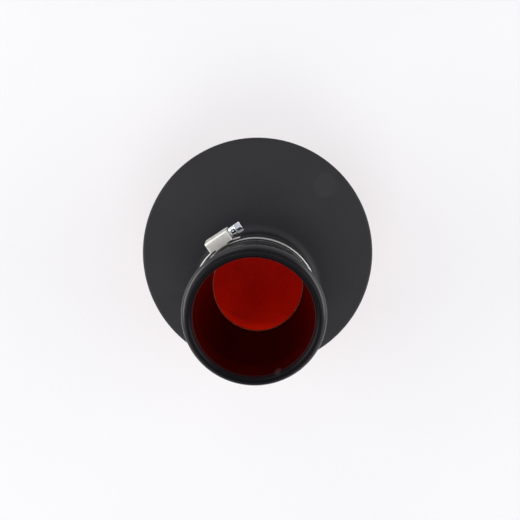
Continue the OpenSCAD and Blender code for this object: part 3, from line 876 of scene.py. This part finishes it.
class AIRFILTER_OT_glue(bpy.types.Operator):
    """Lay the glue lines between the foam pieces and under the plate"""

    bl_idname = "airfilter.glue"
    bl_label = "Glue lines"

    def execute(self, context):
        glue = contact_glue(context.scene.filter_finish)
        finished("glue_under_plate", loft("glue_under_plate", plate_glue_rings(), ends="join"), glue,
                 "filter", ["plate_glue"])
        for name, node, rings in (
                ("glue_seam_outer", "outer_seam_glue", seam_glue_rings(-1, FOAM_END_R, OUTER_T, 0.0)),
                ("glue_seam_inner", "inner_seam_glue",
                 seam_glue_rings(1, INNER_END_R, INNER_T, INNER_LOW))):
            finished(name, loft(name, rings), glue, "filter", [node], angle=50)
        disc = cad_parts["end_glue"]
        disc.data.materials.clear()
        disc.data.materials.append(glue)
        return {"FINISHED"}


# ---- Hose clamp ----

def band_path():
    """The band's inner face seen along the neck, from the fixed tongue round to the free tip.

    Each row is x, y and the direction outwards. The band lies on the neck for about half a turn, rises
    over the next half and ends a little way outside its own start."""
    arcs = ((BAND_IN_R, 0.0, np.linspace(TONGUE_ANGLE, -90, 210)),
            (BAND_IN_R + TAIL_RISE / 2, TAIL_RISE / 2, np.linspace(270, 90, 190)[1:]),
            (FREE_IN_R, 0.0, np.linspace(90, TAIL_ANGLE, 26)[1:]))
    return [(radius * math.cos(angle), up + radius * math.sin(angle), angle)
            for radius, up, turn in arcs for angle in np.radians(turn)]


def band_section():
    """Height above the inner face and place across the band: a flat middle and rolled edges."""
    half = BAND_W / 2
    return [(0.12, -half), (0.0, -half + 0.12), (0.0, 0.0), (0.0, half - 0.12), (0.12, half),
            (0.3, half), (0.62, half - 0.14), (0.9, half - 0.36), (1.06, half - 0.66),
            (1.1, half - 0.95), (1.02, half - 1.25), (0.84, half - 1.5), (BAND_T, half - 1.8),
            (BAND_T, 0.0), (BAND_T, -half + 1.3), (0.82, -half + 1.0), (0.92, -half + 0.7),
            (0.96, -half + 0.4), (0.93, -half + 0.12), (0.85, -half)]


def slot_tree(sizes, material):
    """A tree that punches the slanted thread slots out of the band."""
    tree, start = new_tree("thread_slots", sizes)
    outline = add(tree, "GeometryNodeCurvePrimitiveQuadrilateral", {"Width": start["Width"],
                                                                    "Height": start["Length"]})
    corner = add(tree, "ShaderNodeMath", (start["Width"], 0.42), operation="MULTIPLY")
    outline = add(tree, "GeometryNodeFilletCurve", {"Curve": outline, "Radius": corner, "Count": 4},
                  mode="POLY")
    sheet = add(tree, "GeometryNodeFillCurve", (outline,), mode="NGONS")
    solid = add(tree, "GeometryNodeExtrudeMesh", {"Mesh": sheet, "Offset Scale": start["Depth"]})
    flipped = add(tree, "GeometryNodeFlipFaces", (sheet,))
    cutter = add(tree, "GeometryNodeJoinGeometry", (flipped,))
    fill(tree, cutter, (solid,))
    cutter = add(tree, "GeometryNodeMergeByDistance", {"Geometry": cutter, "Distance": 1e-6})
    half = add(tree, "ShaderNodeMath", (start["Depth"], -0.5), operation="MULTIPLY")
    lift = add(tree, "ShaderNodeCombineXYZ", {"Z": half})
    cutter = add(tree, "GeometryNodeTransform", {"Geometry": cutter, "Translation": lift})
    # The cutter's depth turns from z to x, which is outwards, and its length to z, across the band
    cutter = add(tree, "GeometryNodeTransform", {"Geometry": cutter,
                                                 "Rotation": (math.pi / 2, 0, math.pi / 2)})
    step = add(tree, "ShaderNodeMath", (start["Pitch"], start["Radius"]), operation="DIVIDE")
    number = add(tree, "GeometryNodeInputIndex")
    turn = add(tree, "ShaderNodeMath", (number, step, start["First"]), operation="MULTIPLY_ADD")
    cos = add(tree, "ShaderNodeMath", (turn,), operation="COSINE")
    sin = add(tree, "ShaderNodeMath", (turn,), operation="SINE")
    spot = add(tree, "ShaderNodeCombineXYZ", (cos, sin))
    spot = add(tree, "ShaderNodeVectorMath", (spot, start["Radius"]), operation="SCALE")
    rise = add(tree, "ShaderNodeCombineXYZ", {"Z": start["Middle"]})
    spot = add(tree, "ShaderNodeVectorMath", (spot, rise), operation="ADD")
    points = add(tree, "GeometryNodePoints", {"Count": start["Count"]})
    points = add(tree, "GeometryNodeSetPosition", {"Geometry": points, "Position": spot})
    way = add(tree, "ShaderNodeCombineXYZ", {"X": start["Slant"], "Z": turn})
    way = add(tree, "FunctionNodeEulerToRotation", (way,))
    row = add(tree, "GeometryNodeInstanceOnPoints", {"Points": points, "Instance": cutter,
                                                     "Rotation": way})
    row = add(tree, "GeometryNodeRealizeInstances", (row,))
    cut = add(tree, "GeometryNodeMeshBoolean", (start["Geometry"], row), operation="DIFFERENCE",
              solver="EXACT")
    return close_tree(tree, cut, material)


class AIRFILTER_OT_band(bpy.types.Operator):
    """Bend the slotted clamp band round the neck"""

    bl_idname = "airfilter.band"
    bl_label = "Clamp band"

    def execute(self, context):
        ribs = context.scene.neck_ribs
        steel = rolled_steel(context.scene.filter_finish)
        rings = [[(x + out * math.cos(way), y + out * math.sin(way), BAND_MID + across)
                  for out, across in band_section()] for x, y, way in band_path()]
        sizes = {"Count": ribs.slot_count, "Pitch": ribs.slot_pitch, "Length": SLOT_LEN * MM,
                 "Width": SLOT_W * MM, "Depth": TAIL_RISE * MM, "Slant": SLOT_SLANT,
                 "Radius": (FREE_IN_R + BAND_T / 2) * MM, "Middle": BAND_MID * MM,
                 "First": math.radians(TAIL_ANGLE) + SLOT_FROM_TIP / FREE_IN_R}
        mesh = grown("clamp_strip", loft("clamp_strip", rings), slot_tree(sizes, steel), sizes)
        # The map's X runs along the band, and its Y is the height along the neck plus the radius
        co = np.array([v.co for v in mesh.vertices])
        turn = np.arctan2(co[:, 1], co[:, 0])
        layer = mesh.uv_layers.new(name="strip")
        for loop in mesh.loops:
            v = loop.vertex_index
            layer.data[loop.index].uv = (turn[v] * BAND_IN_R * MM, co[v, 2] + np.hypot(*co[v, :2]))
        mesh.transform(CLAMP_PLACE)
        finished("clamp_strip", mesh, steel, "clamp", ["clamp_band"], angle=40)
        return {"FINISHED"}


def housing_outline(shrink):
    """Flat-topped section of the housing with rounded shoulders: place across the band and radius."""
    half, top, edge = HOUSING_HALF_W - shrink, HOUSING_TOP - shrink, HOUSING_EDGE_R - shrink
    # The flats have a point near each shoulder too, so that the shading stays flat between them
    by_side, by_top = 1.0, 1.2
    shoulder = [(edge * math.sin(a), edge * math.cos(a)) for a in np.linspace(0, math.pi / 2, 10)]
    points = [(-half, HOUSING_LOW), (-half, top - edge - by_side)]
    points += [(-half + edge - x, top - edge + y) for x, y in shoulder[::-1]]
    points += [(-half + edge + by_top, top), (half - edge - by_top, top)]
    points += [(half - edge + x, top - edge + y) for x, y in shoulder]
    return points + [(half, top - edge - by_side), (half, HOUSING_LOW)]


def housing_rings():
    """Sections of the pressed housing along the screw: a folded sheet, a little pinched at both ends."""
    rings = []
    for t, pinch in ((0, 0.25), (0.008, 0.1), (0.02, 0.02), (0.06, 0), (0.3, 0), (0.5, 0), (0.7, 0),
                     (0.94, 0), (0.98, 0.02), (0.992, 0.1), (1, 0.25)):
        x = HOUSING_TIP + (HOUSING_END - HOUSING_TIP) * t
        sheet = housing_outline(pinch) + housing_outline(HOUSING_WALL - pinch * 0.6)[::-1]
        rings.append([(x, r, BAND_MID + w) for w, r in sheet])
    return rings


def end_wall_rings(hole_r):
    """The wall at the screw's end of the housing, from its round hole to its outline."""
    outline = housing_outline(HOUSING_WALL - 0.1)
    longest, chamfer = 0.9, 0.15
    outer = []
    for (w0, r0), (w1, r1) in zip(outline, outline[1:] + outline[:1]):
        steps = max(1, int(math.hypot(w1 - w0, r1 - r0) / longest))
        outer += [(w0 + (w1 - w0) * i / steps, r0 + (r1 - r0) * i / steps) for i in range(steps)]
    outer = np.array(outer)
    turn = np.arctan2(outer[:, 1] - SCREW_R, outer[:, 0])
    hole = ring(hole_r, turn, 0)[:, :2] + (0, SCREW_R)
    back, front = HOUSING_END - HOUSING_WALL, HOUSING_END - 0.05
    return [[(x, r, BAND_MID + w) for w, r in shape] for shape, x in (
        (outer, back), (hole, back), (hole, front - chamfer),
        (hole + (outer - hole) * chamfer / 8, front), (outer, front))]


def saddle_rings():
    """Sections of the solid saddle between the band and the housing, square to the screw."""
    low, high = BAND_IN_R + BAND_T + 0.34, HOUSING_LOW - 0.02
    rings = []
    for x in np.linspace(SADDLE_FROM, SADDLE_TO, 25):
        trim = 0.15 if x in (SADDLE_FROM, SADDLE_TO) else 0.0
        under = math.sqrt(low ** 2 - x ** 2) + trim
        half = HOUSING_HALF_W - 0.02 - trim
        rings.append([(x, r, BAND_MID + w) for r, w in (
            (under, -half + 0.15), (under, half - 0.15), (under + 0.15, half), (high - 0.1, half),
            (high, half - 0.1), (high, -half + 0.1), (high - 0.1, -half), (under + 0.15, -half))])
    return rings


class AIRFILTER_OT_housing(bpy.types.Operator):
    """Press the screw housing and its saddle"""

    bl_idname = "airfilter.housing"
    bl_label = "Screw housing"

    def execute(self, context):
        # The film on the pressed parts is dull and a little yellow, so less of the metal shows
        zinc = plated_zinc("zinc_plated_steel_pressed", context.scene.filter_finish.zinc,
                           rough_from=0.4, rough_to=0.52, metal=0.64)
        shell = loft("shell", housing_rings(), place=CLAMP_PLACE)
        wall = loft("wall", end_wall_rings(STEM_R + 0.3), ends="join", place=CLAMP_PLACE)
        finished("screw_housing", joined("screw_housing", [shell, wall]), zinc, "clamp",
                 ["clamp_housing"], angle=35)
        saddle = loft("housing_saddle", saddle_rings(), place=CLAMP_PLACE)
        finished("housing_saddle", saddle, zinc, "clamp", ["clamp_saddle"], angle=35)
        return {"FINISHED"}


def worm_tree(sizes, material):
    """A tree that winds the worm's thread round its core."""
    tree, start = new_tree("worm_thread", sizes)
    turns = add(tree, "ShaderNodeMath", (start["Length"], start["Pitch"]), operation="DIVIDE")
    helix = add(tree, "GeometryNodeCurveSpiral", {"Resolution": 28, "Rotations": turns,
                                                  "Start Radius": start["Radius"],
                                                  "End Radius": start["Radius"],
                                                  "Height": start["Length"]})
    crest = add(tree, "GeometryNodeCurvePrimitiveCircle", {"Resolution": 8, "Radius": start["Crest"]})
    thread = add(tree, "GeometryNodeCurveToMesh", {"Curve": helix, "Profile Curve": crest,
                                                   "Fill Caps": True})
    return close_tree(tree, thread, material)


def screw_rings():
    """Rings of the screw's core, stem, collar and chamfered hexagonal head, along its axis."""
    turn, sixth, end_r = full_turn(96), math.pi / 3, HEX_FLAT - 0.2
    # Corners on the x axis, as the frame's screw has them, and rounded off a little
    hexagon = HEX_FLAT / np.cos((turn + sixth / 2) % sixth - sixth / 2)
    hexagon = np.minimum(hexagon, HEX_FLAT / math.cos(sixth / 2) - 0.05)
    profile = [(WORM_FROM, CORE_R - 0.4), (WORM_FROM + 0.4, CORE_R), (WORM_TO - 0.3, CORE_R),
               (WORM_TO, STEM_R), (COLLAR_FROM, STEM_R), (COLLAR_FROM, COLLAR_R - 0.25),
               (COLLAR_FROM + 0.08, COLLAR_R - 0.08), (COLLAR_FROM + 0.25, COLLAR_R),
               (HEX_FROM - 0.25, COLLAR_R), (HEX_FROM - 0.08, COLLAR_R - 0.06),
               (HEX_FROM, COLLAR_R - 0.2), (HEX_FROM + 0.05, COLLAR_R - 0.35)]
    # A cone at each end of the head takes its corners off
    for z in (*(HEX_FROM + 0.05 + np.linspace(0, 1.0, 6)), HEX_FROM + 2.5,
              *(HEX_TO - np.linspace(1.1, 0.12, 9))):
        cone = min(end_r + 0.05 + (z - HEX_FROM) * 1.6, end_r + (HEX_TO - z) * 1.5)
        profile.append((z, np.minimum(hexagon, cone)))
    profile += [(HEX_TO - 0.03, np.minimum(hexagon, end_r)), (HEX_TO, end_r - 0.15)]
    return [ring(r, turn, z) for z, r in profile]


class AIRFILTER_OT_screw(bpy.types.Operator):
    """Turn the worm screw with its slotted hexagonal head"""

    bl_idname = "airfilter.screw"
    bl_label = "Worm screw"

    def execute(self, context):
        zinc = plated_zinc("zinc_plated_steel_turned", context.scene.filter_finish.blue_zinc,
                           rough_from=0.08, rough_to=0.14, metal=1.0)
        body = new_object("screw_body", loft("screw_body", screw_rings()))
        floor, above = HEX_TO - DRIVER_SLOT_DEEP, HEX_TO + 1
        slot = [[(x, w, z) for x, z in ((-5, floor), (5, floor), (5, above), (-5, above))]
                for w in (-DRIVER_SLOT_W / 2, DRIVER_SLOT_W / 2)]
        cutter = new_object("driver_slot", loft("driver_slot", slot))
        cut = body.modifiers.new("driver slot", "BOOLEAN")
        cut.object, cut.operation, cut.solver = cutter, "DIFFERENCE", "EXACT"
        body = evaluated_mesh(body)
        bpy.data.objects.remove(cutter)
        sizes = {"Length": (WORM_TO - WORM_FROM - 1.2) * MM, "Pitch": THREAD_PITCH * MM,
                 "Radius": (WORM_R - THREAD_CREST_R) * MM, "Crest": THREAD_CREST_R * MM}
        thread = grown("worm_thread", bpy.data.meshes.new("worm_thread"), worm_tree(sizes, zinc), sizes)
        thread.transform(Matrix.Translation((0, 0, (WORM_FROM + 0.6) * MM)))
        whole = joined("worm_screw", [body, thread])
        whole.transform(SCREW_PLACE)
        finished("worm_screw", whole, zinc, "screw", ["clamp_screw"], angle=30)
        return {"FINISHED"}


# ---- Stage ----

FLOOR_R, FLOOR_DOWN = 6000.0, 0.5


def backdrop_material(look):
    """Seamless white paper: even white to the eye, with the object's own soft shadow kept."""
    material, tree, shader, place = new_material("white_paper_sweep")
    rays = add(tree, "ShaderNodeLightPath").outputs
    seen = add(tree, "ShaderNodeMath", (rays["Is Camera Ray"], rays["Is Glossy Ray"]),
               operation="MAXIMUM")
    seen = add(tree, "ShaderNodeMath", (seen, rays["Is Transmission Ray"]), operation="MAXIMUM")
    # Paper fibre, drawn at 1 mm so that it shows close to
    fibre = add(tree, "ShaderNodeTexNoise", {"Vector": place, "Scale": 900.0, "Detail": 2.0})
    tone = add(tree, "ShaderNodeValToRGB", (fibre,),
               stops=[(0.3, linear("#d7d6d5")), (0.7, linear("#dbdad9"))])
    fill(tree, shader, {"Base Color": tone, "Roughness": 0.9, "Specular IOR Level": 0.0})
    glow = add(tree, "ShaderNodeEmission", {"Color": look.backdrop[:], "Strength": 1.0})
    # The paper keeps the object's shadow near it and turns to plain backdrop far off
    far = add(tree, "ShaderNodeVectorMath", (place,), operation="LENGTH")
    even = add(tree, "ShaderNodeMapRange", {"Value": far, "From Min": 0.35, "From Max": 1.5,
                                            "To Min": 0.55, "To Max": 1.0})
    share = add(tree, "ShaderNodeMath", (seen, even), operation="MULTIPLY")
    both = add(tree, "ShaderNodeMixShader", (share, shader, glow))
    output = next(n for n in tree.nodes if n.type == "OUTPUT_MATERIAL")
    fill(tree, output, {"Surface": both})
    return material


def studio_world(look):
    """Even light all round, and plain backdrop to the camera."""
    world = bpy.data.worlds.new("even_studio_light")
    world.use_nodes = True
    tree = world.node_tree
    tree.nodes.clear()
    rays = add(tree, "ShaderNodeLightPath").outputs
    way = add(tree, "ShaderNodeTexCoord").outputs["Generated"]
    way = add(tree, "ShaderNodeSeparateXYZ", (way,)).outputs["Z"]
    # Bright walls all round under a darker ceiling
    room = add(tree, "ShaderNodeValToRGB", (way,),
               stops=[(0.0, linear("#fafbff")), (0.45, linear("#f0f3ff")),
                      (0.72, linear("#b4b6c0")), (0.95, linear("#6c6d74"))])
    light = add(tree, "ShaderNodeBackground", {"Color": room, "Strength": look.sky})
    white = add(tree, "ShaderNodeBackground", {"Color": look.backdrop[:], "Strength": 1.0})
    both = add(tree, "ShaderNodeMixShader", (rays["Is Camera Ray"], light, white))
    add(tree, "ShaderNodeOutputWorld", {"Surface": both})
    return world


class AIRFILTER_OT_stage(bpy.types.Operator):
    """Lay the backdrop, hang the lights and set the camera"""

    bl_idname = "airfilter.stage"
    bl_label = "Stage"

    def execute(self, context):
        scene, look = context.scene, context.scene.stage_look
        rim = ring(FLOOR_R, full_turn(64), -FLOOR_DOWN) * MM
        floor_mesh = bpy.data.meshes.new("floor")
        floor_mesh.from_pydata(rim.tolist(), [], [list(range(len(rim)))])
        floor = new_object("floor", floor_mesh)
        floor.data.materials.append(backdrop_material(look))
        scene.world = studio_world(look)
        # Place, aim, width and height are in metres, and power in watts
        for name, place, aim, width, height, power in (
                ("top", (0.03, -0.66, 1.42), (0, -0.03, 0.15), 0.7, 0.7, look.top_light),
                ("left", (-0.95, 0.05, 0.55), (0, 0, 0.15), 0.95, 0.6, look.side_light * 1.7),
                ("right", (0.95, 0.05, 0.55), (0, 0, 0.15), 0.95, 0.6, look.side_light * 1.5),
                ("rear", (-0.5, 0.8, 0.9), (0, 0, 0.15), 0.5, 0.5, look.side_light * 0.25)):
            data = bpy.data.lights.new(name, "AREA")
            data.shape, data.size, data.size_y, data.energy = "RECTANGLE", width, height, power
            lamp = new_object("soft_light_" + name, data)
            lamp.location = place
            lamp.rotation_mode = "QUATERNION"
            lamp.rotation_quaternion = (Vector(aim) - Vector(place)).to_track_quat("-Z", "Y")
        camera = new_object("camera", bpy.data.cameras.new("camera"))
        camera.data.lens, camera.data.sensor_width = LENS, SENSOR
        camera.data.clip_start, camera.data.clip_end = 0.01, 50.0
        ahead = (Vector(AIM) - Vector(EYE)).normalized()
        right = ahead.cross(Vector((0, 1, 0))).normalized()
        turned = Matrix((right, right.cross(ahead), -ahead)).transposed()
        camera.matrix_world = Matrix.LocRotScale(Vector(EYE), turned, None)
        scene.camera = camera
        scene.view_settings.view_transform = "Standard"
        return {"FINISHED"}


# ---- Add-on ----

class AIRFILTER_PT_panel(bpy.types.Panel):
    """Air filter tools in the sidebar"""

    bl_idname = "AIRFILTER_PT_panel"
    bl_label = "Air Filter"
    bl_space_type = "VIEW_3D"
    bl_region_type = "UI"
    bl_category = "Air Filter"

    def draw(self, context):
        for group in (context.scene.filter_finish, context.scene.neck_ribs, context.scene.stage_look):
            for name in group.__annotations__:
                self.layout.prop(group, name)
        for operator in OPERATORS:
            self.layout.operator(operator.bl_idname)


GROUPS = {"filter_finish": FilterFinish, "neck_ribs": NeckRibs, "stage_look": StageLook}
OPERATORS = (AIRFILTER_OT_base, AIRFILTER_OT_ribs, AIRFILTER_OT_foam, AIRFILTER_OT_glue,
             AIRFILTER_OT_band, AIRFILTER_OT_housing, AIRFILTER_OT_screw, AIRFILTER_OT_stage)


def register():
    """Registers the settings, the operators and the panel."""
    for name, group in GROUPS.items():
        bpy.utils.register_class(group)
        setattr(bpy.types.Scene, name, bpy.props.PointerProperty(type=group))
    for part in OPERATORS + (AIRFILTER_PT_panel,):
        bpy.utils.register_class(part)


def unregister():
    """Takes away what register added."""
    for part in (AIRFILTER_PT_panel,) + OPERATORS[::-1]:
        bpy.utils.unregister_class(part)
    for name, group in GROUPS.items():
        delattr(bpy.types.Scene, name)
        bpy.utils.unregister_class(group)


def main():
    """Builds every piece and the stage."""
    register()
    bpy.ops.airfilter.base()
    bpy.ops.airfilter.ribs()
    bpy.ops.airfilter.foam()
    bpy.ops.airfilter.glue()
    bpy.ops.airfilter.band()
    bpy.ops.airfilter.housing()
    bpy.ops.airfilter.screw()
    bpy.ops.airfilter.stage()


if __name__ == "__main__":
    main()
